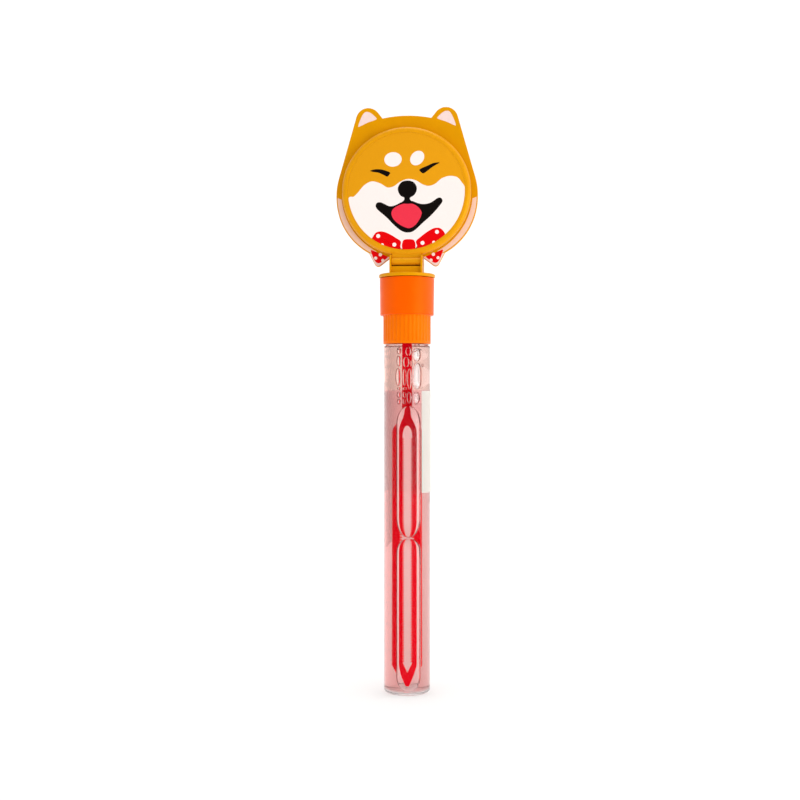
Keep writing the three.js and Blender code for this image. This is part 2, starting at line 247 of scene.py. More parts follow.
RIM_BORE = LEAF_RADIUS - LEAF_RIM
CARD_RADIUS = card_high.x
PIN_HEIGHT = (pin_low.z + pin_high.z) / 2
PIN_DEPTH = -(pin_low.y + pin_high.y) / 2
PIN_RADIUS = (pin_high.z - pin_low.z) / 2
WEB_HALF = NECK_HALF - SIDE_PLATE / 2
STRAP_HALF = NECK_HALF - SIDE_PLATE - STRAP_FIT
UPRIGHT = Matrix.Rotation(math.pi / 2, 4, "X")
ABOUT = Matrix.Rotation(math.pi, 4, "Z")


# Materials. Clear walls keep only a soft glint, as the photograph's do, and patterns are in millimetres.
GLASS_GLINT = (0.05, 0.05, 0.05, 1)
PATTERN_MIDDLE = {"From Min": 0.3, "From Max": 0.7}
CLOUD_SIZE = 14
POLISH_SIZE = 5
POLISH_RANGE = 0.04
GLOW_DEPTH = 1.5
PAPER_TOOTH = 0.5
INK_WAVE = 0.8
INK_WAVE_DEPTH = 0.004
WIRE_LINE = 0.2
WIRE_LINE_DEPTH = 0.01
FOAM_CELL = 0.6
FOAM_CELL_DEPTH = 0.06


def linear(code):
    """An sRGB hex colour as linear RGBA."""
    channels = [int(code[i:i + 2], 16) / 255 for i in (1, 3, 5)]
    return [*(c / 12.92 if c <= 0.04045 else ((c + 0.055) / 1.055) ** 2.4 for c in channels), 1]


def add(tree, kind, inputs=(), links=(), **settings):
    """Adds a shader node with its settings, input values and links from other nodes' outputs."""
    node = tree.nodes.new(kind)
    for name, value in settings.items():
        setattr(node, name, value)
    for socket, value in dict(inputs).items():
        node.inputs[socket].default_value = value
    for socket, output in dict(links).items():
        tree.links.new(output, node.inputs[socket])
    return node


def material(name):
    """An empty node material and the Object coordinates that its patterns read."""
    made = bpy.data.materials.new(name)
    made.use_nodes = True
    made.node_tree.nodes.clear()
    place = add(made.node_tree, "ShaderNodeTexCoord").outputs["Object"]
    return made, made.node_tree, place


def surface(tree, inputs, links=(), volume=None):
    """The Principled shader and the material's output."""
    shader = add(tree, "ShaderNodeBsdfPrincipled", inputs, links)
    wired = {"Surface": shader.outputs["BSDF"]}
    if volume:
        wired["Volume"] = volume.outputs["Volume"]
    add(tree, "ShaderNodeOutputMaterial", links=wired)


def mottled(tree, place, size, detail, low, high):
    """A cloudy pattern with grains of the given size, its middle range spread over the given values."""
    grains = add(tree, "ShaderNodeTexNoise", {"Scale": 1 / (size * MM), "Detail": detail}, {"Vector": place})
    limits = {**PATTERN_MIDDLE, "To Min": low, "To Max": high}
    return add(tree, "ShaderNodeMapRange", limits, {"Value": grains.outputs[0]}).outputs["Result"]


def relief(tree, place, size, detail, depth):
    """The normals of a surface whose grains have the given size and depth."""
    grains = add(tree, "ShaderNodeTexNoise", {"Scale": 1 / (size * MM), "Detail": detail}, {"Vector": place})
    bump = add(tree, "ShaderNodeBump", {"Distance": depth * MM}, {"Height": grains.outputs[0]})
    return bump.outputs["Normal"]


def moulded(name, colour, roughness, grain, depth, gloss, gloss_level=0.5, ior=1.53, glow=0.0, painted_glow=0.0):
    """Injection-moulded plastic: even colour with faint flow clouds, and the tool's fine grain in the gloss.

    The gloss has a tint and a level of its own. Glow is the share of the light that scatters under the
    surface. The emission is a painted glow in the plastic's own colour, for a piece that stands in deep
    liquid: it stands in for the light that the glass and the liquid keep from that piece.
    """
    made, tree, place = material(name)
    cloud = mottled(tree, place, CLOUD_SIZE, 3.0, 0.97, 1.03)
    tint = add(tree, "ShaderNodeHueSaturation", {"Color": linear(colour)}, {"Value": cloud})
    polish = mottled(tree, place, POLISH_SIZE, 2.0, roughness - POLISH_RANGE, roughness + POLISH_RANGE)
    surface(
        tree,
        {
            "IOR": ior,
            "Specular IOR Level": gloss_level,
            "Specular Tint": linear(gloss),
            "Subsurface Weight": glow,
            "Subsurface Scale": GLOW_DEPTH * MM,
            "Emission Color": linear(colour),
            "Emission Strength": painted_glow,
        },
        {
            "Base Color": tint.outputs["Color"],
            "Roughness": polish,
            "Normal": relief(tree, place, grain, 3.0, depth),
        },
    )
    return made


def clear_plastic(name, colour, ior, wave, depth, roughness=0.02):
    """Clear moulded or drawn plastic: glass-like, with slow waves in the wall that bend what it shows."""
    made, tree, place = material(name)
    surface(
        tree,
        {
            "Base Color": linear(colour),
            "Roughness": roughness,
            "IOR": ior,
            "Transmission Weight": 1.0,
            "Specular Tint": GLASS_GLINT,
        },
        {"Normal": relief(tree, place, wave, 1.0, depth)},
    )
    return made


def soap_solution(name, colour, density):
    """Soapy water and glycerine with a little pink dye, which deepens with the liquid's thickness."""
    made, tree, _ = material(name)
    dye = add(tree, "ShaderNodeVolumeAbsorption", {"Color": linear(colour), "Density": density})
    surface(
        tree,
        {
            "Base Color": linear("#ffffff"),
            "Roughness": 0.0,
            "IOR": 1.42,
            "Transmission Weight": 1.0,
            "Specular Tint": GLASS_GLINT,
        },
        volume=dye,
    )
    return made


def printed(name, colour, roughness=0.32, through=0.0):
    """Offset-printed ink under a thin laminate: a soft gloss and the paper's faint tooth in the colour.

    Ink on clear film lets light through, about as far as its own thickness, which is given in millimetres.
    """
    made, tree, place = material(name)
    tooth = mottled(tree, place, PAPER_TOOTH, 2.0, 0.985, 1.015)
    ink = add(tree, "ShaderNodeHueSaturation", {"Color": linear(colour)}, {"Value": tooth})
    surface(
        tree,
        {
            "Roughness": roughness,
            "IOR": 1.48,
            "Specular IOR Level": 0.06,
            "Subsurface Weight": 1.0 if through else 0.0,
            "Subsurface Scale": through * MM,
            "Subsurface Radius": (1, 1, 1),
        },
        {"Base Color": ink.outputs["Color"], "Normal": relief(tree, place, INK_WAVE, 2.0, INK_WAVE_DEPTH)},
    )
    return made


def drawn_steel(name):
    """Bright drawn wire: a clean metal with fine lines along the pin."""
    made, tree, place = material(name)
    along = add(tree, "ShaderNodeMapping", {"Scale": (0.05, 1, 1)}, {"Vector": place}).outputs["Vector"]
    surface(
        tree,
        {"Base Color": linear("#c4c6c9"), "Metallic": 1.0},
        {
            "Roughness": mottled(tree, along, WIRE_LINE, 3.0, 0.2, 0.38),
            "Normal": relief(tree, along, WIRE_LINE, 3.0, WIRE_LINE_DEPTH),
        },
    )
    return made


def liner_foam(name):
    """Closed-cell polyethylene foam: white, dull and finely pitted, with painted shade in the pits."""
    made, tree, place = material(name)
    scale = 1 / (FOAM_CELL * MM)
    cells = add(tree, "ShaderNodeTexVoronoi", {"Scale": scale}, {"Vector": place}).outputs["Distance"]
    bump = add(tree, "ShaderNodeBump", {"Distance": FOAM_CELL_DEPTH * MM}, {"Height": cells})
    # The pits' bottoms are painted a little darker: painted shade.
    limits = {**PATTERN_MIDDLE, "To Min": 0.94, "To Max": 1.0}
    painted_pit_shade = add(tree, "ShaderNodeMapRange", limits, {"Value": cells}).outputs["Result"]
    tint = add(tree, "ShaderNodeHueSaturation", {"Color": linear("#f3eee8")}, {"Value": painted_pit_shade})
    surface(
        tree,
        {"Roughness": 0.7},
        {"Base Color": tint.outputs["Color"], "Normal": bump.outputs["Normal"]},
    )
    return made


# The toy's finishes. The mouldings' grain is drawn coarser than a real mould's, so that it shows.
mustard_abs = moulded("mustard_abs_moulded", "#de9602", 0.42, grain=0.7, depth=0.012, gloss="#ffc030")
leaf_abs = moulded(
    "leaf_abs_moulded", "#e2980a", 0.3, grain=0.7, depth=0.01, gloss="#ffc848", gloss_level=0.7)
orange_pp = moulded(
    "orange_polypropylene_moulded", "#fb5b00", 0.34, grain=0.9, depth=0.012, gloss="#ffc030",
    gloss_level=0.35, ior=1.49, glow=0.12)
cap_pp = moulded(
    "light_orange_polypropylene_moulded", "#fd7604", 0.38, grain=0.9, depth=0.012, gloss="#ffc030",
    gloss_level=0.35, ior=1.49, glow=0.12)
# The wand's emission is a painted glow that stands in for light the tube and solution keep from it.
red_pe = moulded(
    "red_polyethylene_moulded", "#ff0422", 0.36, grain=0.6, depth=0.006, gloss="#ff5060",
    gloss_level=0.1, ior=1.51, glow=0.08, painted_glow=0.15)
tube_pet = clear_plastic("clear_tube_plastic_moulded", "#fffafa", 1.55, wave=9, depth=0.02)
sleeve_pvc = clear_plastic("clear_sleeve_film_shrunk", "#fffcfc", 1.45, wave=6, depth=0.03, roughness=0.04)
pink_solution = soap_solution("pink_bubble_solution", "#dd8078", density=52.0)
pale_froth = soap_solution("frothed_bubble_solution", "#db946b", density=38.0)
seal_foam = liner_foam("polyethylene_foam_liner")
pin_wire = drawn_steel("drawn_steel_wire")
mustard_ink = printed("mustard_print_on_card", "#e39a10")
white_ink = printed("white_print", "#f6ebe6")
black_ink = printed("black_print", "#0d0705")
tongue_ink = printed("tongue_pink_print", "#ea354a")
bow_ink = printed("bow_red_print", "#e40006")
ear_ink = printed("ear_pink_print", "#f2d8d2")
cheek_ink = printed("cheek_pink_print", "#f2cdb8")
panel_ink = printed("bare_white_panel_print", "#d6d0c9", roughness=0.4, through=PANEL_THICKNESS)


# Shapes

def arc(x, z, radius_x, radius_z, start, end, steps):
    """Points of an elliptic arc between two angles, both ends included."""
    angles = [start + (end - start) * i / steps for i in range(steps + 1)]
    return [(x + radius_x * math.cos(a), z + radius_z * math.sin(a)) for a in angles]


def filleted(path, steps=FILLET_STEPS):
    """Points of a closed path of (x, z, radius) corners, each rounded by its radius."""
    points = []
    for before, (x, z, radius), after in zip(path[-1:] + path[:-1], path, path[1:] + path[:1]):
        corner = Vector((x, z))
        if not radius:
            points.append(corner)
            continue
        back = (Vector(before[:2]) - corner).normalized()
        on = (Vector(after[:2]) - corner).normalized()
        half = back.angle(on) / 2
        centre = corner + (back + on).normalized() * radius / math.sin(half)
        first = (corner + back * radius / math.tan(half) - centre).normalized()
        last = (corner + on * radius / math.tan(half) - centre).normalized()
        points += [centre + first.slerp(last, i / steps) * radius for i in range(steps + 1)]
    return points


def closed(bm):
    """Merges doubled points and turns the faces of a closed shape outwards."""
    bmesh.ops.remove_doubles(bm, verts=bm.verts, dist=WELD)
    bmesh.ops.recalc_face_normals(bm, faces=bm.faces)
    return bm


def spun(profile, steps=ROUND_STEPS, ring=False, angle=2 * math.pi):
    """A profile of (radius, height) points turned about Z; a ring's profile closes on itself."""
    bm = bmesh.new()
    verts = [bm.verts.new((radius, 0, height)) for radius, height in profile]
    ends = verts[1:] + verts[:1] if ring else verts[1:]
    edges = [bm.edges.new(pair) for pair in zip(verts, ends)]
    bmesh.ops.spin(
        bm, geom=verts + edges, axis=(0, 0, 1), cent=(0, 0, 0), angle=angle, steps=steps,
        use_merge=angle == 2 * math.pi,
    )
    return closed(bm)


def band(inner, outer, low, high):
    """Profile of a plain ring."""
    return [(inner, low), (outer, low), (outer, high), (inner, high)]


def bevelled(bm, edges, offset):
    """Rounds the given edges."""
    bmesh.ops.bevel(
        bm, geom=edges, offset=offset, offset_type="OFFSET", segments=3, profile=0.5,
        affect="EDGES", clamp_overlap=True, material=-1,
    )


def slab(outline, thickness, bevel=0.0):
    """A closed outline in X and Z, as thick along Y as given and centred there, with bevelled rims."""
    bm = bmesh.new()
    face = bm.faces.new([bm.verts.new((x, -thickness / 2, z)) for x, z in outline])
    made = bmesh.ops.extrude_face_region(bm, geom=[face])["geom"]
    far = [part for part in made if isinstance(part, bmesh.types.BMVert)]
    bmesh.ops.translate(bm, verts=far, vec=(0, thickness, 0))
    closed(bm)
    if bevel:
        rims = [e for e in bm.edges if abs(e.verts[0].co.y - e.verts[1].co.y) < WELD]
        bevelled(bm, rims, bevel)
    return bm


def block(width, depth, height, centre, bevel):
    """A box with bevelled edges."""
    bm = bmesh.new()
    bmesh.ops.create_cube(bm, size=1)
    bmesh.ops.scale(bm, vec=(width, depth, height), verts=bm.verts)
    bevelled(bm, bm.edges[:], bevel)
    bmesh.ops.translate(bm, vec=centre, verts=bm.verts)
    return bm


def rod(radius, length, y, z, bevel, steps=PIN_STEPS):
    """A round bar along X with bevelled ends."""
    half = length / 2
    profile = [(0, -half, 0), (radius, -half, bevel), (radius, half, bevel), (0, half, 0)]
    bm = spun(filleted(profile, FINE_FILLET_STEPS), steps)
    bm.transform(Matrix.Translation((0, y, z)) @ Matrix.Rotation(math.pi / 2, 4, "Y"))
    return bm


def merged(*shapes):
    """Several shapes as one mesh, each still a closed shape of its own."""
    whole = bmesh.new()
    for bm in shapes:
        part = bpy.data.meshes.new("part")
        bm.to_mesh(part)
        whole.from_mesh(part)
        bm.free()
        bpy.data.meshes.remove(part)
    return whole


def shape_object(bm, name):
    """An object in the scene that takes over the given shape."""
    mesh = bpy.data.meshes.new(name)
    bm.to_mesh(mesh)
    bm.free()
    made = bpy.data.objects.new(name, mesh)
    bpy.context.scene.collection.objects.link(made)
    return made


def fused(base, joins=(), cuts=()):
    """One closed shape: the base with some shapes joined to it and others cut from it."""
    target = shape_object(base, "fused")
    steps = [(bm, "UNION") for bm in joins] + [(bm, "DIFFERENCE") for bm in cuts]
    tools = []
    for bm, operation in steps:
        tool = shape_object(bm, "tool")
        modifier = target.modifiers.new(operation, "BOOLEAN")
        modifier.object = tool
        modifier.operation = operation
        modifier.solver = "EXACT"
        tools.append(tool)
    evaluated = target.evaluated_get(bpy.context.evaluated_depsgraph_get())
    bm = bmesh.new()
    bm.from_mesh(evaluated.to_mesh())
    for done in [target, *tools]:
        bpy.data.objects.remove(done)
    return closed(bm)


def piece(bm, name, body, finish, nodes=(), smooth=35, even=False):
    """A finished piece: in metres, smooth up to the given angle, riding on its body.

    Even shading keeps the large flat faces of a joined moulding flat.
    """
    bm.transform(Matrix.Scale(MM, 4))
    made = shape_object(bm, name)
    made.data.materials.append(finish)
    made.data.shade_smooth()
    made.data.set_sharp_from_angle(angle=math.radians(smooth))
    if even:
        normals = made.modifiers.new("even_normals", "WEIGHTED_NORMAL")
        normals.keep_sharp = True
    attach(made, body)
    if nodes:
        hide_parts(*nodes)
    return made


def helix(radius, bottom, inward=False):
    """A thread ridge that climbs round Z, standing out of the wall or, for a cap, into it."""
    side = -1 if inward else 1
    half = THREAD_WIDTH / 2
    foot = radius - side * THREAD_ROOT
    crest = radius + side * THREAD_HEIGHT
    bm = bmesh.new()
    profile = [(foot, -half), (crest, -half / 3), (crest, half / 3), (foot, half)]
    verts = [bm.verts.new((r, 0, bottom + z)) for r, z in profile]
    edges = [bm.edges.new(pair) for pair in zip(verts, verts[1:] + verts[:1])]
    bmesh.ops.spin(
        bm, geom=verts + edges, axis=(0, 0, 1), cent=(0, 0, 0), angle=2 * math.pi * THREAD_TURNS,
        dvec=(0, 0, THREAD_PITCH / THREAD_STEPS), steps=round(THREAD_STEPS * THREAD_TURNS),
    )
    bmesh.ops.holes_fill(bm, edges=bm.edges[:], sides=len(profile))
    return closed(bm)


# Bottle

def make_tube():
    """Clear tube with a thick rounded base and a threaded neck."""
    profile = filleted([
        (0, 0, 0),
        (TUBE_RADIUS, 0, BASE_FILLET),
        (TUBE_RADIUS, SHOULDER_TOP - SHOULDER_RISE, SHOULDER_ROUND),
        (NECK_RADIUS, SHOULDER_TOP, EDGE_ROUND),
        (NECK_RADIUS, TUBE_TOP, SOFT_ROUND),
        (NECK_BORE, TUBE_TOP, SOFT_ROUND),
        (NECK_BORE, INNER_SHOULDER, EDGE_ROUND),
        (TUBE_BORE, INNER_SHOULDER - SHOULDER_RISE, SHOULDER_ROUND),
        (TUBE_BORE, TUBE_FLOOR, INNER_FILLET),
        (0, TUBE_FLOOR, 0),
    ])
    bm = merged(spun(profile), helix(NECK_RADIUS, THREAD_BOTTOM))
    piece(bm, "bottle_tube", "bottle", tube_pet, ["tube"]).visible_shadow = False


def make_sleeve():
    """Clear film sleeve, and the bare white panel printed on its right side."""
    outer = film_high.x
    film = spun(band(outer - FILM_THICKNESS, outer, film_low.z, film_high.z), ring=True)
    piece(film, "film_sleeve", "bottle", sleeve_pvc, ["label_film"]).visible_shadow = False
    profile = band(outer, outer + PANEL_THICKNESS, film_low.z + PANEL_INSET, film_high.z - PANEL_INSET)
    panel = spun(profile, PANEL_STEPS, True, PANEL_TO - PANEL_FROM)
    bmesh.ops.holes_fill(panel, edges=panel.edges[:], sides=len(profile))
    bmesh.ops.rotate(panel, matrix=Matrix.Rotation(PANEL_FROM - math.pi / 2, 3, "Z"), verts=panel.verts)
    piece(closed(panel), "film_panel", "bottle", panel_ink)


def air_pocket(bm, across, half_width, low, high, end, depth, bulge):
    """A bubble against the front wall with drawn-out ends; its back is flat at a bulge of 0, round at 1."""
    middle = (low + high) / 2
    straight = (high - low) / 2 - end
    wall = TUBE_BORE - POCKET_FILM
    steps = POCKET_STEPS
    made = bmesh.ops.create_uvsphere(bm, u_segments=2 * steps, v_segments=steps, radius=1)["verts"]
    for vert in made:
        side, inward, up = vert.co
        radius = wall - POCKET_FRONT * (1 - math.sqrt(max(0, -inward)))
        back = depth * max(0, inward) ** bulge
        turn = (across + half_width * side) / wall
        half = math.copysign(1, up) if abs(up) > WELD else 0
        height = middle + straight * half + end * up
        vert.co = (radius * math.sin(turn), back - radius * math.cos(turn), height)
    bmesh.ops.rotate(bm, verts=made, cent=(0, 0, 0), matrix=Matrix.Rotation(CAMERA_TURN, 3, "Z"))
    return made


# Bubbles as (across, half width, low, high, drawn-out end, depth, bulge), placed as the photograph shows
# them. In the solution: the two long ones, then the lowest cells. In the froth: the right column, the left
# column, the cells in front of the stem and one small bubble by the wall.
SOLUTION_POCKETS = [
    (1.1, 8.0, 2.7, 98.7, 9, 6, 0.68),
    (1.1, 8.0, 99.3, 181.9, 12, 6, 0.68),
    (5.9, 2.6, 182.8, 190.7, 3.7, 16, 0.6),
    (-5.2, 1.4, 187.0, 190.8, 1.8, 4, 0.8),
    (-5.2, 1.3, 182.8, 186.4, 1.7, 4, 0.8),
    (1.4, 1.5, 183.4, 190.7, 3.2, 1.0, 0.3),
    (-1.7, 1.2, 187.0, 190.8, 1.8, 1.0, 0.3),
    (-1.9, 1.0, 182.8, 186.4, 1.7, 1.0, 0.3),
]
FROTH_POCKETS = [
    (6.2, 3.0, 209.7, 218.2, 4.1, 20, 0.6),
    (6.5, 3.3, 192.2, 209.2, 5.6, 20, 0.6),
    (-5.1, 1.5, 214.2, 218.7, 2.0, 4, 0.8),
    (-5.3, 1.5, 206.6, 213.6, 3.2, 5, 0.8),
    (-5.8, 1.8, 194.2, 205.8, 5.0, 5, 0.8),
    (-5.2, 1.2, 191.8, 193.7, 0.9, 3, 0.8),
    (0.9, 2.0, 213.3, 218.7, 2.5, 1.0, 0.3),
    (-0.6, 2.0, 206.0, 212.6, 3.1, 1.0, 0.3),
    (2.8, 0.8, 206.4, 210.6, 1.9, 1.0, 0.3),
    (-1.6, 1.3, 194.5, 205.3, 4.6, 1.0, 0.3),
    (1.6, 1.4, 192.2, 205.4, 5.0, 1.0, 0.3),
    (-1.5, 1.3, 191.8, 193.8, 0.9, 1.0, 0.3),
    (10.6, 0.9, 206.4, 208.4, 0.95, 1.2, 0.6),
]


def liquid_piece(name, profile, pockets, finish, nodes=()):
    """Liquid turned from its profile, less its bubbles of air."""
    bm = spun(filleted(profile))
    for pocket in pockets:
        verts = air_pocket(bm, *pocket)
        faces = {face for vert in verts for face in vert.link_faces}
        bmesh.ops.recalc_face_normals(bm, faces=list(faces))
        bmesh.ops.reverse_faces(bm, faces=list(faces))
    piece(bm, name, "bottle", finish, nodes, smooth=60).visible_shadow = False


def make_solution():
    """Bubble solution that wets the tube's wall, and the froth above it up into the neck."""
    wet = TUBE_BORE + WET_OVERLAP
    neck_wet = NECK_BORE + WET_OVERLAP
    level = liquid_high.z + FROTH_RISE
    floor = TUBE_FLOOR - WET_OVERLAP
    foot = film_high.z + WET_OVERLAP
    solution = [(0, floor, 0), (wet, floor, INNER_FILLET), (wet, film_high.z, 0), (0, film_high.z, 0)]
    froth = [
        (0, foot, 0),
        (wet, foot, 0),
        (wet, INNER_SHOULDER - SHOULDER_RISE, SHOULDER_ROUND),
        (neck_wet, INNER_SHOULDER, EDGE_ROUND),
        *[(neck_wet - inset, level + rise, 0) for inset, rise in MENISCUS],
        (0, level, 0),
    ]
    liquid_piece("bubble_liquid", solution, SOLUTION_POCKETS, pink_solution, ["bubble_solution"])
    liquid_piece("bubble_froth", froth, FROTH_POCKETS, pale_froth)


# Cap

def make_liner():
    """Foam ring between the neck's mouth and the cap's deck."""
    profile = band(NECK_BORE, seal_high.x, seal_low.z, seal_high.z)
    ring = spun(filleted([(*point, FINE_ROUND) for point in profile], FINE_FILLET_STEPS), ring=True)
    piece(ring, "liner_ring", "liner", seal_foam, ["cap_seal"])


def make_cap():
    """Screw cap: grip flutes round the skirt, a thread inside, the wand's socket, a ring above the deck."""
    low, top = cap_low.z, cap_high.z
    ring_bore = CAP_RADIUS - CAP_RING_WALL
    flute_low = low + FLUTE_FOOT
    socket_low = DECK_BOTTOM - PLUG_LENGTH - FIT_GAP
    socket_outer = SOCKET_RADIUS + SOCKET_WALL
    profile = filleted([
        (0, DECK_TOP, 0),
        (ring_bore, DECK_TOP, SOFT_ROUND),
        (ring_bore, top, EDGE_ROUND),
        (CAP_RADIUS, top, EDGE_ROUND),
        (CAP_RADIUS, DECK_BOTTOM + FLUTE_TOP_RUN, 0),
        (CAP_RADIUS, DECK_BOTTOM, 0),
        (CAP_RADIUS, flute_low, 0),
        (CAP_RADIUS, flute_low - FLUTE_FOOT_RUN, 0),
        (CAP_RADIUS, low, FULL_ROUND),
        (CAP_BORE, low, EDGE_ROUND),
        (CAP_BORE, DECK_BOTTOM, SOFT_ROUND),
        (socket_outer, DECK_BOTTOM, SOFT_ROUND),
        (socket_outer, socket_low, EDGE_ROUND),
        (SOCKET_RADIUS, socket_low, EDGE_ROUND),
        (SOCKET_RADIUS, DECK_BOTTOM, 0),
        (0, DECK_BOTTOM, 0),
    ])
    bm = spun(profile, FLUTES * FLUTE_STEPS)
    for vert in bm.verts:
        radius = math.hypot(vert.co.x, vert.co.y)
        if flute_low - WELD < vert.co.z < DECK_BOTTOM + WELD and radius > CAP_RADIUS - WELD:
            wave = math.cos(FLUTES * math.atan2(vert.co.y, vert.co.x))
            groove = FLUTE_DEPTH * max(0, min(1, 0.5 - FLUTE_STEEPNESS * wave))
            vert.co.xy *= (radius - groove) / radius
    bm = merged(bm, helix(CAP_BORE, THREAD_BOTTOM + THREAD_PITCH / 4, inward=True))
    piece(bm, "screw_cap_fluted", "cap", cap_pp, ["screw_cap"], smooth=40)


def make_collar():
    """Smooth collar over the cap's ring and the head's spigot, with a ledge between the two."""
    low, top = collar_low.z, collar_high.z
    ledge_low = cap_high.z + FIT_GAP
    ledge_top = ledge_low + LEDGE_THICKNESS
    ledge_bore = COLLAR_BORE - LEDGE_REACH
    ring = spun(filleted([
        (COLLAR_BORE, low, FINE_ROUND),
        (COLLAR_RADIUS - COLLAR_DRAFT, low, COLLAR_ROUND),
        (COLLAR_RADIUS, top, COLLAR_ROUND),
        (COLLAR_BORE, top, FINE_ROUND),
        (COLLAR_BORE, ledge_top, EDGE_ROUND),
        (ledge_bore, ledge_top, FINE_ROUND),
        (ledge_bore, ledge_low, FINE_ROUND),
        (COLLAR_BORE, ledge_low, EDGE_ROUND),
    ]), ring=True)
    piece(ring, "cap_collar_smooth", "cap", orange_pp, ["cap_collar"])


def raised(bm, loop, place):
    """Extrudes a loop of edges and puts its new points where the given function says."""
    made = bmesh.ops.extrude_edge_only(bm, edges=loop)["geom"]
    verts = {part for part in made if isinstance(part, bmesh.types.BMVert)}
    for vert in verts:
        vert.co = place(vert.co)
    return [part for part in made if isinstance(part, bmesh.types.BMEdge) and set(part.verts) <= verts]


def wand_sections():
    """Half of the loop and its stem, tip to top, as (height, inner edge, outer edge, half thickness)."""
    tip = wand_low.z
    loop_top = tip + LOOP_LENGTH
    gap = LOOP_HALF - LEG_WIDTH
    thick = WAND_HALF_THICKNESS
    thin = thick - RIB_DEPTH
    arch_top = loop_top - TOP_CROTCH
    arch_foot = arch_top - ARCH_RISE
    toothed_low = tip + TIP_TAPER + TOOTH_PITCH
    teeth = int((arch_foot - toothed_low) / TOOTH_PITCH)
    crotch_out = TIP_HALF + (LOOP_HALF - TIP_HALF) * TIP_CROTCH / TIP_TAPER
    corner_in = gap * (TIP_TAPER - TIP_CROTCH) / (toothed_low - tip - TIP_CROTCH)
    sections = [
        (tip, 0, TIP_HALF, thick),
        (tip + TIP_CROTCH, 0, crotch_out, thick),
        (tip + TIP_TAPER, corner_in, LOOP_HALF, thick),
    ]
    for i in range(teeth):
        for along, out in TOOTH_FORM:
            height = toothed_low + (i + along) * TOOTH_PITCH
            sections.append((height, gap - TOOTH_DEPTH * out, LOOP_HALF, thick if out else thin))
    sections.append((toothed_low + teeth * TOOTH_PITCH, gap, LOOP_HALF, thin))
    turns = [math.pi / 2 * (i + 0.5) / CURVE_STEPS for i in range(CURVE_STEPS)]
    heights = [arch_foot + ARCH_RISE * math.sin(turn) for turn in turns]
    heights += [arch_top + TOP_CROTCH * i / CURVE_STEPS for i in range(CURVE_STEPS + 1)]
    for height in heights:
        up = min(1, (height - arch_foot) / ARCH_RISE)
        share = max(0, 1 - (loop_top - height) / TOP_TAPER)
        outer = LOOP_HALF + (STEM_HALF - LOOP_HALF) * share * share * (3 - 2 * share)
        sections.append((height, gap * math.sqrt(1 - up * up), outer, thick))
    return sections + [(PLUG_LOW + ROOT, 0, STEM_HALF, thick)]


def make_wand():
    """Wand: half of the loop raised section by section, then mirrored, and the plug on its stem."""
    sections = wand_sections()
    height, inner, outer, half = sections[0]
    foot = [(inner, -half, height), (outer, -half, height), (outer, half, height), (inner, half, height)]
    bm = bmesh.new()
    start = [bm.verts.new(co) for co in foot]
    first = [bm.edges.new(pair) for pair in zip(start, start[1:] + start[:1])]
    loop = first
    middle = (inner + outer) / 2
    for height, inner, outer, half in sections[1:]:
        loop = raised(bm, loop, lambda co: (
            outer if co.x > middle else inner, math.copysign(half, co.y), height))
        middle = (inner + outer) / 2
    bmesh.ops.contextual_create(bm, geom=first)
    bmesh.ops.contextual_create(bm, geom=loop)
    seam = [face for face in bm.faces if all(abs(v.co.x) < WELD for v in face.verts)]
    bmesh.ops.delete(bm, geom=seam, context="FACES")
    bmesh.ops.mirror(bm, geom=bm.verts[:] + bm.edges[:] + bm.faces[:], axis="X", merge_dist=WELD)
    plug = spun(filleted([
        (0, PLUG_LOW, 0),
        (PLUG_RADIUS, PLUG_LOW, SOFT_ROUND),
        (PLUG_RADIUS, wand_high.z, FULL_ROUND),
        (0, wand_high.z, 0),
    ]), PLUG_STEPS)
    whole = fused(closed(bm), [plug])
    wand = piece(whole, "bubble_wand_toothed", "cap", red_pe, ["bubble_wand"], smooth=50)
    soften = wand.modifiers.new("soft_edges", "BEVEL")
    soften.width = FINE_ROUND * MM
    soften.segments = 2
    soften.limit_method = "ANGLE"
    soften.angle_limit = math.radians(60)


# Dog head

def tangent(start, centre, radius, side):
    """Direction of the line from a point that touches a circle, which then lies on the given side."""
    reach = Vector(centre) - Vector(start)
    return math.atan2(reach.y, reach.x) + side * math.asin(radius / reach.length)


def cheek_point(angle, inset=0.0):
    """A point of the cheek's outline, an ellipse that is fuller below its middle."""
    fullness = CHEEK_FULLNESS if angle < 0 else 1
    rise = math.copysign(abs(math.sin(angle)) ** fullness, angle)
    across = (HEAD_HALF_WIDTH - inset) * math.cos(angle) ** fullness
    return across, HEAD_CENTRE + (HEAD_HALF_HEIGHT - inset) * rise


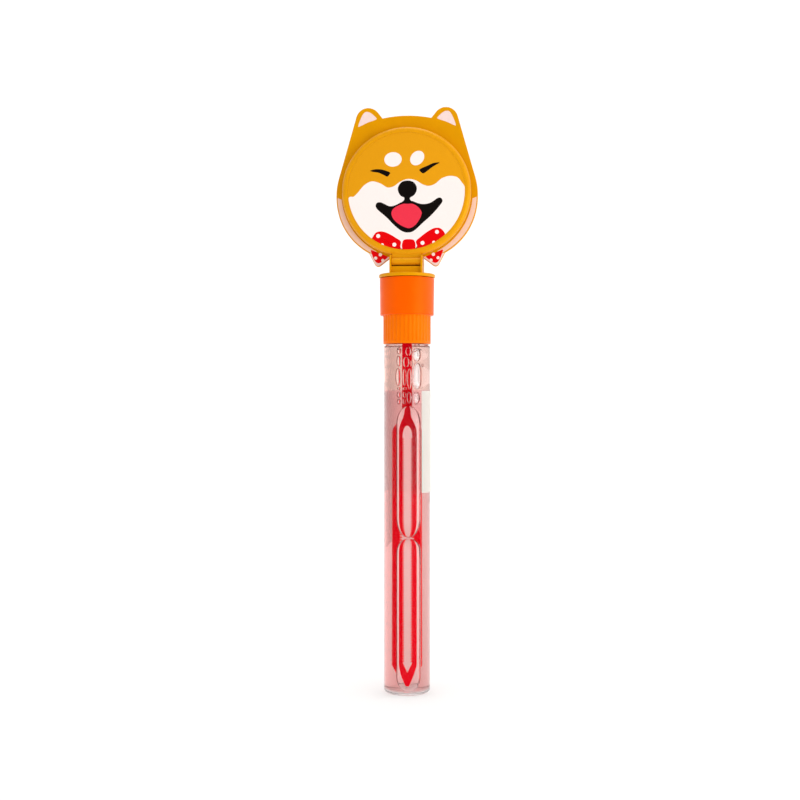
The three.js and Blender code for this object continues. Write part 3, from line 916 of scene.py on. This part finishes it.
def head_half():
    """Right half of the head's outline, from the neck round the bow tip, cheek and ear to the crown."""
    quarter = math.pi / 2
    bow = (BOW_REACH, HEAD_CENTRE - BOW_DROP)
    bow_inner = (WEB_HALF, HEAD_CENTRE - BOW_INNER_DROP)
    cheek_start = -math.acos((BOW_OUTER_REACH / HEAD_HALF_WIDTH) ** (1 / CHEEK_FULLNESS))
    cheek_end = math.atan(math.tan(EAR_LEAN) * HEAD_HALF_HEIGHT / HEAD_HALF_WIDTH)
    step = (cheek_end - cheek_start) / CHEEK_STEPS
    cheek = [cheek_point(cheek_start + step * i) for i in range(CHEEK_STEPS + 1)]
    normal = Vector((math.cos(EAR_LEAN), math.sin(EAR_LEAN)))
    ear_height = head_high.z - EAR_TIP_RADIUS
    ear_reach = (Vector(cheek[-1]).dot(normal) - EAR_TIP_RADIUS - ear_height * normal.y) / normal.x
    ear = (ear_reach, ear_height)
    foot = (ear_reach - EAR_FOOT_INSET, HEAD_CENTRE + EAR_FOOT_RISE)
    into_bow = tangent(bow_inner, bow, BOW_TIP_RADIUS, -1) - 5 * quarter
    out_of_bow = tangent(cheek[0], bow, BOW_TIP_RADIUS, 1) - 3 * quarter
    down_ear = tangent(foot, ear, EAR_TIP_RADIUS, 1) + quarter
    shares = [i / CURVE_STEPS for i in range(CURVE_STEPS - 1, 0, -1)]
    drop = CROWN_RISE - EAR_FOOT_RISE
    return [
        (WEB_HALF, FLANGE_TOP - ROOT),
        bow_inner,
        *arc(*bow, BOW_TIP_RADIUS, BOW_TIP_RADIUS, into_bow, out_of_bow, BOW_STEPS),
        *cheek,
        *arc(*ear, EAR_TIP_RADIUS, EAR_TIP_RADIUS, EAR_LEAN, down_ear, EAR_STEPS),
        foot,
        *[(foot[0] * s, HEAD_CENTRE + CROWN_RISE - drop * s * s) for s in shares],
    ]


def pin_bore(side):
    """Tool that cuts a hinge pin's hole right through the neck."""
    return rod(PIN_RADIUS + PIN_FIT, 4 * NECK_HALF, side * PIN_DEPTH, PIN_HEIGHT, BORE_TOOL_EDGE, BORE_STEPS)


def make_head():
    """Head plate, the neck's two side plates and base, and the flange with its spigot, one moulding."""
    half = head_half()
    outline = half + [(0, HEAD_CENTRE + CROWN_RISE)] + [(-x, z) for x, z in reversed(half)]
    plate = slab(outline, PLATE_THICKNESS, PLATE_BEVEL)
    low = FLANGE_TOP - ROOT
    reach = PIN_DEPTH + SIDE_PLATE_ROUND
    top = PIN_HEIGHT + SIDE_PLATE_ROUND
    side_outline = filleted([
        (-reach, low, 0),
        (reach, low, 0),
        (reach, top, SIDE_PLATE_ROUND),
        (-reach, top, SIDE_PLATE_ROUND),
    ], SIDE_FILLET_STEPS)
    joins = []
    for side in (-1, 1):
        side_plate = slab(side_outline, SIDE_PLATE, SIDE_PLATE_EDGE)
        side_plate.transform(
            Matrix.Translation((side * WEB_HALF, 0, 0)) @ Matrix.Rotation(math.pi / 2, 4, "Z"))
        joins.append(side_plate)
    base_top = PIN_HEIGHT - BARREL_RADIUS - BASE_FIT
    base_height = base_top - low
    base_depth = 2 * (PIN_DEPTH + BARREL_RADIUS)
    base_middle = (0, 0, base_top - base_height / 2)
    joins.append(block(2 * WEB_HALF, base_depth, base_height, base_middle, EDGE_ROUND))
    spigot = COLLAR_BORE - FIT_GAP
    joins.append(spun(filleted([
        (0, FLANGE_BOTTOM - SPIGOT_WALL, 0),
        (spigot - SPIGOT_WALL, FLANGE_BOTTOM - SPIGOT_WALL, SOFT_ROUND),
        (spigot - SPIGOT_WALL, head_low.z, EDGE_ROUND),
        (spigot, head_low.z, EDGE_ROUND),
        (spigot, FLANGE_BOTTOM, FINE_ROUND),
        (FLANGE_RADIUS, FLANGE_BOTTOM, FLANGE_ROUND),
        (FLANGE_RADIUS, FLANGE_TOP, FLANGE_ROUND),
        (0, FLANGE_TOP, 0),
    ])))
    bm = fused(plate, joins, [pin_bore(-1), pin_bore(1)])
    piece(bm, "dog_head_plate", "cap", mustard_abs, ["head_plate"], even=True)


def make_pins():
    """The two hinge pins, front and rear."""
    for side, name in ((-1, "front_hinge_pin"), (1, "rear_hinge_pin")):
        bar = rod(PIN_RADIUS, pin_high.x - pin_low.x, side * PIN_DEPTH, PIN_HEIGHT, PIN_EDGE)
        piece(bar, name + "_wire", "cap", pin_wire, [name])


# Clapper leaves

def hinge_shape():
    """The strap and the hinge barrel at its foot, with the pin's hole."""
    back = -PIN_DEPTH + BARREL_RADIUS
    top = LEAF_CENTRE - RIM_BORE + STRAP_ROOT
    meeting = math.acos((BARREL_RADIUS - STRAP_THICKNESS) / BARREL_RADIUS)
    barrel = arc(-PIN_DEPTH, PIN_HEIGHT, BARREL_RADIUS, BARREL_RADIUS, meeting, 2 * math.pi, BARREL_STEPS)
    hinge = slab([*barrel, (back, top), (back - STRAP_THICKNESS, top)], 2 * STRAP_HALF, EDGE_ROUND)
    hinge.transform(Matrix.Rotation(math.pi / 2, 4, "Z"))
    return fused(hinge, cuts=[pin_bore(-1)])


def leaf_shape():
    """A clapper leaf that faces -Y: shallow round tray with a ring and ribs inside, and its hinge."""
    recess = CARD_RADIUS + FIT_GAP
    floor = LEAF_FRONT - CARD_RECESS
    ring_low = LEAF_BACK + RIB_SETBACK
    ring_outer = RIB_RING + RIB_THICKNESS
    tray = spun(filleted([
        (0, FACE_BACK, 0),
        (RIB_RING, FACE_BACK, 0),
        (RIB_RING, ring_low, 0),
        (ring_outer, ring_low, 0),
        (ring_outer, FACE_BACK, 0),
        (RIM_BORE, FACE_BACK, FULL_ROUND),
        (RIM_BORE, LEAF_BACK, EDGE_ROUND),
        (LEAF_RADIUS, LEAF_BACK, SOFT_ROUND),
        (LEAF_RADIUS, LEAF_FRONT, LEAF_EDGE),
        (recess, LEAF_FRONT, CARD_SET),
        (recess, floor, 0),
        (0, floor, 0),
    ], LEAF_FILLET_STEPS), LEAF_STEPS)
    rib_top = FACE_BACK + LEAF_FACE / 2
    start = RIB_RING + RIB_THICKNESS / 2
    length = RIM_BORE + LEAF_RIM / 2 - start
    ribs = []
    for i in range(RIBS):
        middle = (start + length / 2, 0, (ring_low + rib_top) / 2)
        rib = block(length, RIB_THICKNESS, rib_top - ring_low, middle, RIB_EDGE)
        rib.transform(Matrix.Rotation((i + 0.5) * 2 * math.pi / RIBS, 4, "Z"))
        ribs.append(rib)
    bm = fused(tray, ribs)
    bm.transform(Matrix.Translation((0, 0, LEAF_CENTRE)) @ UPRIGHT)
    return fused(bm, [hinge_shape()])


def make_leaves():
    """The front leaf and, turned about, the rear one."""
    front = leaf_shape()
    rear = front.copy()
    rear.transform(ABOUT)
    piece(front, "front_leaf_tray", "front_leaf", leaf_abs, ["front_clapper"], even=True)
    piece(rear, "rear_leaf_tray", "rear_leaf", leaf_abs, ["rear_clapper"], even=True)


# Prints: thin closed layers of ink, each a hair above the last

INK = 0.03
PRINT_STEPS = 40
SHORTEST_EDGE = 0.005
PRINT_TURN = math.radians(-0.8)
PRINT_SHIFT = Vector((0.45, -0.88))


def smooth_loop(points):
    """A closed smooth curve through the given points."""
    loop = []
    for i in range(len(points)):
        a, b, c, d = (Vector(points[(i + k) % len(points)]) for k in (-1, 0, 1, 2))
        for step in range(CURVE_STEPS):
            t = step / CURVE_STEPS
            loop.append((b * 2 + (c - a) * t + (a * 2 - b * 5 + c * 4 - d) * t ** 2
                         + (b * 3 - a - c * 3 + d) * t ** 3) / 2)
    return loop


def ellipse(x, z, half_x, half_z, lean=0.0):
    """A leaning ellipse as a closed outline."""
    turn = Matrix.Rotation(math.radians(lean), 2)
    around = arc(0, 0, half_x, half_z, 0, 2 * math.pi, PRINT_STEPS)[:-1]
    return [turn @ Vector(point) + Vector((x, z)) for point in around]


def kept_inside(outline, radius):
    """An outline with what lies past a circle drawn in to it."""
    return [p if p.length <= radius else p * radius / p.length for p in map(Vector, outline)]


def ink_layer(name, body, finish, outlines, face, layer, origin=(0, 0)):
    """Closed outlines printed on a face that looks along -Y, as one piece."""
    shapes = []
    for outline in outlines:
        clean = []
        for point in map(Vector, outline):
            if not clean or (point - clean[-1]).length > SHORTEST_EDGE:
                clean.append(point)
        print_slab = slab([(p.x + origin[0], p.y + origin[1]) for p in clean], INK)
        print_slab.transform(Matrix.Translation((0, -face - INK * (layer + 0.5), 0)))
        shapes.append(print_slab)
    piece(merged(*shapes), name, body, finish)


# The face, in millimetres from the middle of the card
BROWS = [ellipse(-9.1, 20.8, 5.5, 4.6, 4), ellipse(6.2, 21.7, 5.0, 4.0, 50)]
MUZZLE_TOP = [
    (-36.9, -3.6), (-33.8, -2.8), (-30.9, 0.0), (-27.2, 4.4), (-22.4, 6.9), (-17.1, 5.7), (-12.3, 3.1),
    (-8.2, 4.0), (-4.1, 6.9), (0.8, 8.5), (5.6, 7.6), (9.7, 5.2), (13.7, 4.2), (17.7, 5.5), (21.8, 8.9),
    (26.7, 10.5), (31.5, 9.7), (34.2, 6.9), (37.2, 2.0),
]
MUZZLE_BELOW = [(42, -12), (36, -28), (22, -42), (0, -48), (-22, -42), (-36, -28), (-42, -12)]
LEFT_EYE = [
    (-23.4, 13.6), (-20.5, 14.5), (-17.0, 14.5), (-13.6, 13.7), (-10.9, 12.5), (-11.3, 11.3), (-12.6, 10.0),
    (-15.1, 11.1), (-18.2, 12.4), (-21.5, 12.9),
]
RIGHT_EYE = [
    (20.3, 18.9), (16.6, 18.6), (12.7, 16.9), (8.9, 15.2), (7.7, 14.2), (8.6, 13.0), (10.2, 12.1),
    (12.4, 13.4), (15.0, 15.5), (17.8, 17.3),
]
NOSE = [
    (0.3, 7.5), (-3.4, 6.5), (-5.7, 3.0), (-5.0, -0.6), (-2.6, -2.8), (2.6, -2.8), (5.3, -0.6), (6.2, 3.0),
    (4.2, 6.4),
]
NOSE_STEM = [
    (-2.2, -2.2), (-1.5, -3.7), (-2.0, -5.2), (-3.4, -6.6), (0.4, -7.2), (4.2, -6.6), (2.6, -5.2),
    (1.9, -3.7), (2.7, -2.2),
]
MOUTH = [
    (0.4, -6.0), (-3.4, -6.2), (-6.3, -7.7), (-9.2, -8.7), (-11.4, -8.6), (-14.0, -7.4), (-16.2, -6.4),
    (-18.3, -6.4), (-19.6, -7.7), (-19.3, -9.8), (-17.3, -12.0), (-12.9, -15.6), (-8.5, -20.0),
    (-4.8, -23.2), (-1.9, -24.8), (0.6, -25.3), (3.6, -24.8), (6.1, -23.1), (10.5, -18.9), (14.9, -14.9),
    (18.9, -10.6), (22.2, -6.2), (22.3, -4.3), (21.1, -3.2), (19.3, -3.5), (17.1, -5.1), (14.9, -6.4),
    (12.0, -7.2), (9.0, -7.2), (6.1, -6.4), (3.2, -5.4),
]
TONGUE = [
    (-9.6, -13.8), (-8.9, -10.9), (-6.3, -8.8), (-3.0, -7.4), (0.6, -6.9), (4.3, -7.4), (7.2, -9.1),
    (9.2, -11.7), (9.4, -13.8), (8.1, -17.1), (5.4, -20.7), (2.5, -22.4), (-0.4, -22.2), (-4.8, -20.0),
    (-8.1, -17.1),
]
LEFT_WING = [
    (-21.9, -30.1), (-20.9, -27.6), (-19.1, -25.4), (-16.5, -24.7), (-13.6, -25.1), (-9.9, -26.7),
    (-6.3, -28.9), (-3.5, -30.9), (-3.6, -34.2), (-3.0, -38.5), (-12, -38), (-20, -33),
]
RIGHT_WING = [
    (6.2, -30.8), (9.0, -28.0), (12.7, -25.1), (16.3, -22.9), (18.9, -22.2), (21.4, -22.5), (23.6, -24.5),
    (24.6, -27.0), (24, -31), (16, -38), (6.6, -38.5), (6.9, -34.0),
]
KNOT = [
    (-2.4, -31.6), (-1.4, -29.9), (1.6, -29.5), (4.6, -29.9), (5.6, -31.6), (5.9, -34), (5.2, -38),
    (1.6, -38.5), (-1.8, -38), (-2.7, -34),
]
BOW_DOTS = [
    (-17.8, -27.6, 1.25), (-7.5, -33.0, 1.25), (10.3, -31.8, 1.25), (19.3, -24.8, 1.25),
    (-15.1, -33.2, 1.0), (17.4, -31.4, 1.0),
]


def make_face():
    """Printed face card in the front leaf."""
    edge = CARD_RADIUS + FIT_GAP - CARD_FIT
    back = LEAF_FRONT - CARD_RECESS + CARD_BED
    profile = [(0, back, 0), (edge, back, 0), (edge, CARD_FRONT, CARD_EDGE), (0, CARD_FRONT, 0)]
    card = spun(filleted(profile, FINE_FILLET_STEPS), LEAF_STEPS)
    card.transform(Matrix.Translation((0, 0, LEAF_CENTRE)) @ UPRIGHT)
    piece(card, "face_card_mustard", "front_leaf", mustard_ink, ["face_card"])
    turn = Matrix.Rotation(PRINT_TURN, 2)

    def ink(name, finish, loops, layer):
        turned = [[turn @ Vector(p) + PRINT_SHIFT for p in loop] for loop in loops]
        inside = [kept_inside(loop, CARD_RADIUS) for loop in turned]
        ink_layer(name, "front_leaf", finish, inside, CARD_FRONT, layer, (0, LEAF_CENTRE))

    ink("face_white", white_ink, [smooth_loop(MUZZLE_TOP + MUZZLE_BELOW), *BROWS], 0)
    ink("face_black", black_ink, [smooth_loop(MOUTH), smooth_loop(LEFT_EYE), smooth_loop(RIGHT_EYE)], 1)
    ink("face_nose", black_ink, [smooth_loop(NOSE)], 2)
    ink("face_nose_stem", black_ink, [smooth_loop(NOSE_STEM)], 3)
    ink("face_tongue", tongue_ink, [smooth_loop(TONGUE)], 2)
    ink("face_bow", bow_ink, [smooth_loop(LEFT_WING), smooth_loop(RIGHT_WING), smooth_loop(KNOT)], 1)
    ink("face_bow_dots", white_ink, [ellipse(x, z, r, r) for x, z, r in BOW_DOTS], 2)


# Prints on the plate round the leaf, in millimetres from the plate's middle and from the table
EAR_INNER = [
    (25.4, 369.5), (23.4, 368.9), (21.2, 367.2), (19.5, 365.4), (19.9, 364.5), (25.2, 362.6), (30.4, 360.2),
    (31.1, 360.7), (29.9, 364.2), (28.4, 367.4), (27.0, 369.1),
]
BOW_TIP = [
    (22.9, 281.2), (22.3, 278.4), (20.6, 274.6), (19.3, 273.2), (17.8, 272.9), (16.2, 273.6), (12.6, 276.2),
    (12.2, 277.0), (16.0, 278.6), (20.0, 280.2),
]
BOW_TIP_DOTS = [(19.9, 276.1, 1.0), (16.9, 278.3, 1.1), (15.4, 274.6, 1.0)]
CHEEK_TOP = math.radians(-1.5)
CHEEK_LOW = math.radians(-64)
CHEEK_POINT = math.radians(4)
CHEEK_BORDER = 0.8
CHEEK_INNER = LEAF_RADIUS + 0.9
CHEEK_WIDTH = 1.7
BOW_EDGE_RISE = 4
BOW_EDGE_SHARE = 0.93


def cheek_outline():
    """A crescent along the plate's edge, pointed at its top, with a narrow gap left round the leaf."""
    step = (CHEEK_TOP - CHEEK_LOW) / PRINT_STEPS
    angles = [CHEEK_LOW + step * i for i in range(PRINT_STEPS + 1)]
    outer = [Vector(cheek_point(angle, CHEEK_BORDER)) for angle in angles]
    middle = Vector((0, LEAF_CENTRE))
    inner = []
    for angle, point in zip(reversed(angles), reversed(outer)):
        reach = (point - middle).length
        least = CHEEK_WIDTH * min(1, (CHEEK_TOP - angle) / CHEEK_POINT)
        inner.append(middle + (point - middle) * (min(CHEEK_INNER, reach - least) / reach))
    return outer + inner[1:]


def both_sides(outline):
    """An outline and its mirror image."""
    return [[(x, z) for x, z in outline], [(-x, z) for x, z in outline]]


def make_plate_prints():
    """Cheeks, ear linings and bow tips; a tip's pale border is the plate's own outline, drawn in."""
    face = PLATE_THICKNESS / 2
    middle = Vector((BOW_REACH, HEAD_CENTRE - BOW_DROP + BOW_EDGE_RISE))
    tip = [Vector(point) for point in head_half()[1:BOW_STEPS + 4]]
    border = [middle + (point - middle) * BOW_EDGE_SHARE for point in tip]
    dots = [ellipse(side * x, z, r, r) for side in (-1, 1) for x, z, r in BOW_TIP_DOTS]
    for name, finish, outlines, layer in (
        ("plate_cheeks", cheek_ink, both_sides(cheek_outline()), 0),
        ("plate_bow_edge", ear_ink, both_sides(border), 1),
        ("plate_ears", ear_ink, both_sides(smooth_loop(EAR_INNER)), 0),
        ("plate_bow", bow_ink, both_sides(smooth_loop(BOW_TIP)), 2),
        ("plate_bow_dots", white_ink, dots, 3),
    ):
        ink_layer(name, "cap", finish, outlines, face, layer)


# Camera, floor and light. The lengths of the grey card and of the lights are in metres.

FLOOR_WIDTH = 8000
FLOOR_FRONT = 4000
FLOOR_BACK = 2200
FLOOR_HEIGHT = 3500
FLOOR_SWEEP = 900
FLOOR_STEPS = 24
FLOOR_CLOUD = 120
WALL_FRONT = 0.8
WALL_SIDES = 0.45
WALL_RIGHT = 0.25
# The grey card is painted shade, which the tube's left side shows; the camera never sees the card itself.
GREY_TURN = math.radians(27)
GREY_REACH = 1.3
GREY_HEIGHT = 0.6
GREY_SIZE = (1.5, 2.0)
GREY_DENSITY = 0.5
LIT_MIDDLE = (0, 0, 0.2)


def make_camera():
    """The photograph's camera."""
    data = bpy.data.cameras.new("camera")
    data.lens = CAMERA_LENS
    data.sensor_width = SENSOR
    data.shift_x = -TOY_OFFSET_PIXELS / FRAME_PIXELS
    camera = bpy.data.objects.new("camera", data)
    bpy.context.scene.collection.objects.link(camera)
    reach = CAMERA_DISTANCE * MM
    turn = CAMERA_TURN
    camera.location = (reach * math.sin(turn), -reach * math.cos(turn), CAMERA_HEIGHT * MM)
    camera.rotation_euler = (math.pi / 2, 0, turn)
    bpy.context.scene.camera = camera


def make_floor():
    """Pale studio floor that curves up behind the toy."""
    bend = FLOOR_BACK - FLOOR_SWEEP
    curve = arc(bend, FLOOR_SWEEP, FLOOR_SWEEP, FLOOR_SWEEP, -math.pi / 2, 0, FLOOR_STEPS)
    path = [(-FLOOR_FRONT, 0), (bend, 0), *curve, (FLOOR_BACK, FLOOR_HEIGHT)]
    bm = bmesh.new()
    verts = [bm.verts.new((-FLOOR_WIDTH / 2, y, z)) for y, z in path]
    edges = [bm.edges.new(pair) for pair in zip(verts, verts[1:])]
    made = bmesh.ops.extrude_edge_only(bm, edges=edges)["geom"]
    far = [part for part in made if isinstance(part, bmesh.types.BMVert)]
    bmesh.ops.translate(bm, verts=far, vec=(FLOOR_WIDTH, 0, 0))
    closed(bm)
    bm.transform(Matrix.Scale(MM, 4))
    floor = shape_object(bm, "floor")
    floor.data.shade_smooth()
    paper, tree, place = material("pale_studio_paper")
    tone = mottled(tree, place, FLOOR_CLOUD, 2.0, 0.99, 1.01)
    tint = add(tree, "ShaderNodeHueSaturation", {"Color": linear("#f7f6f5")}, {"Value": tone})
    surface(tree, {"Roughness": 0.9, "Specular IOR Level": 0.1}, {"Base Color": tint.outputs["Color"]})
    floor.data.materials.append(paper)


def aim(light, place, target):
    """Puts a light in its place and turns it to its target."""
    bpy.context.scene.collection.objects.link(light)
    light.location = place
    light.rotation_euler = (Vector(target) - Vector(place)).to_track_quat("-Z", "Y").to_euler()


def softbox(name, place, target, size, power):
    """A rectangular area light."""
    data = bpy.data.lights.new(name, "AREA")
    data.shape = "RECTANGLE"
    data.size, data.size_y = size
    data.energy = power
    aim(bpy.data.objects.new(name, data), place, target)


def make_card():
    """Grey card with soft edges behind the toy on its right, hidden from the camera: painted shade that the
    tube's left side shows.
    """
    bm = bmesh.new()
    bmesh.ops.create_grid(bm, x_segments=1, y_segments=1, size=0.5)
    turn = Matrix.Rotation(-GREY_TURN, 4, "Z")
    stand = Matrix.Translation((0, GREY_REACH, GREY_HEIGHT)) @ Matrix.Rotation(math.pi / 2, 4, "X")
    bm.transform(turn @ stand @ Matrix.Diagonal((*GREY_SIZE, 1, 1)))
    card = shape_object(bm, "grey_card")
    paper, tree, place = material("painted_shade_card")
    facing = add(tree, "ShaderNodeMapping", {"Rotation": (0, 0, GREY_TURN)}, {"Vector": place})
    across = add(tree, "ShaderNodeSeparateXYZ", links={"Vector": facing.outputs["Vector"]}).outputs["X"]
    aside = add(tree, "ShaderNodeMath", links={0: across}, operation="ABSOLUTE").outputs[0]
    limits = {"From Min": 0, "From Max": GREY_SIZE[0] / 2, "To Min": GREY_DENSITY, "To Max": 0}
    fade = add(tree, "ShaderNodeMapRange", limits, {"Value": aside}, interpolation_type="SMOOTHSTEP")
    surface(
        tree,
        {"Base Color": linear("#a89a98"), "Roughness": 0.9, "Specular IOR Level": 0.1},
        {"Alpha": fade.outputs["Result"]},
    )
    card.data.materials.append(paper)
    card.visible_camera = False
    card.visible_diffuse = False
    card.visible_shadow = False


def make_world():
    """Studio walls, brighter to the sides than in front, most of all on the right; white to the camera."""
    world = bpy.data.worlds.new("studio")
    bpy.context.scene.world = world
    world.use_nodes = True
    tree = world.node_tree
    tree.nodes.clear()
    way = add(tree, "ShaderNodeTexCoord").outputs["Generated"]
    across = add(tree, "ShaderNodeSeparateXYZ", links={"Vector": way}).outputs["X"]
    slope = add(
        tree, "ShaderNodeMath", {1: WALL_SIDES, 2: WALL_RIGHT}, {0: across}, operation="MULTIPLY_ADD")
    level = add(
        tree, "ShaderNodeMath", {2: WALL_FRONT}, {0: across, 1: slope.outputs[0]}, operation="MULTIPLY_ADD")
    direct = add(tree, "ShaderNodeLightPath").outputs["Is Camera Ray"]
    shown = add(tree, "ShaderNodeMix", {"B": 1.0}, {"Factor": direct, "A": level.outputs[0]})
    walls = add(tree, "ShaderNodeBackground", links={"Strength": shown.outputs["Result"]})
    add(tree, "ShaderNodeOutputWorld", links={"Surface": walls.outputs["Background"]})


def make_lights():
    """Soft studio light: even from above, a large box on the right, a weaker one left, a lit sweep."""
    overhead = bpy.data.lights.new("overhead", "SUN")
    overhead.energy = 0.9
    overhead.angle = math.radians(50)
    aim(bpy.data.objects.new("overhead", overhead), place=(0, -0.1, 2), target=(0, 0, 0))
    softbox("key_right", place=(0.9, -0.7, 0.05), target=LIT_MIDDLE, size=(0.9, 0.9), power=7.5)
    softbox("fill_left", place=(-1.0, -0.7, 0.3), target=LIT_MIDDLE, size=(0.8, 1.2), power=1.2)
    softbox("sweep_light", place=(0, 0.9, 1.9), target=(0, 2.2, 0.7), size=(3.0, 0.7), power=12)


def set_render():
    """Colour and light paths: plain colours, and enough bounces for glass inside glass."""
    scene = bpy.context.scene
    scene.view_settings.view_transform = "Standard"
    scene.view_settings.look = "None"
    scene.cycles.max_bounces = 48
    scene.cycles.transmission_bounces = 48
    scene.cycles.glossy_bounces = 24
    scene.cycles.diffuse_bounces = 5
    scene.cycles.use_denoising = True


make_camera()
make_tube()
make_sleeve()
make_solution()
make_liner()
make_cap()
make_collar()
make_wand()
make_head()
make_pins()
make_leaves()
make_face()
make_plate_prints()
make_floor()
make_card()
make_world()
make_lights()
set_render()
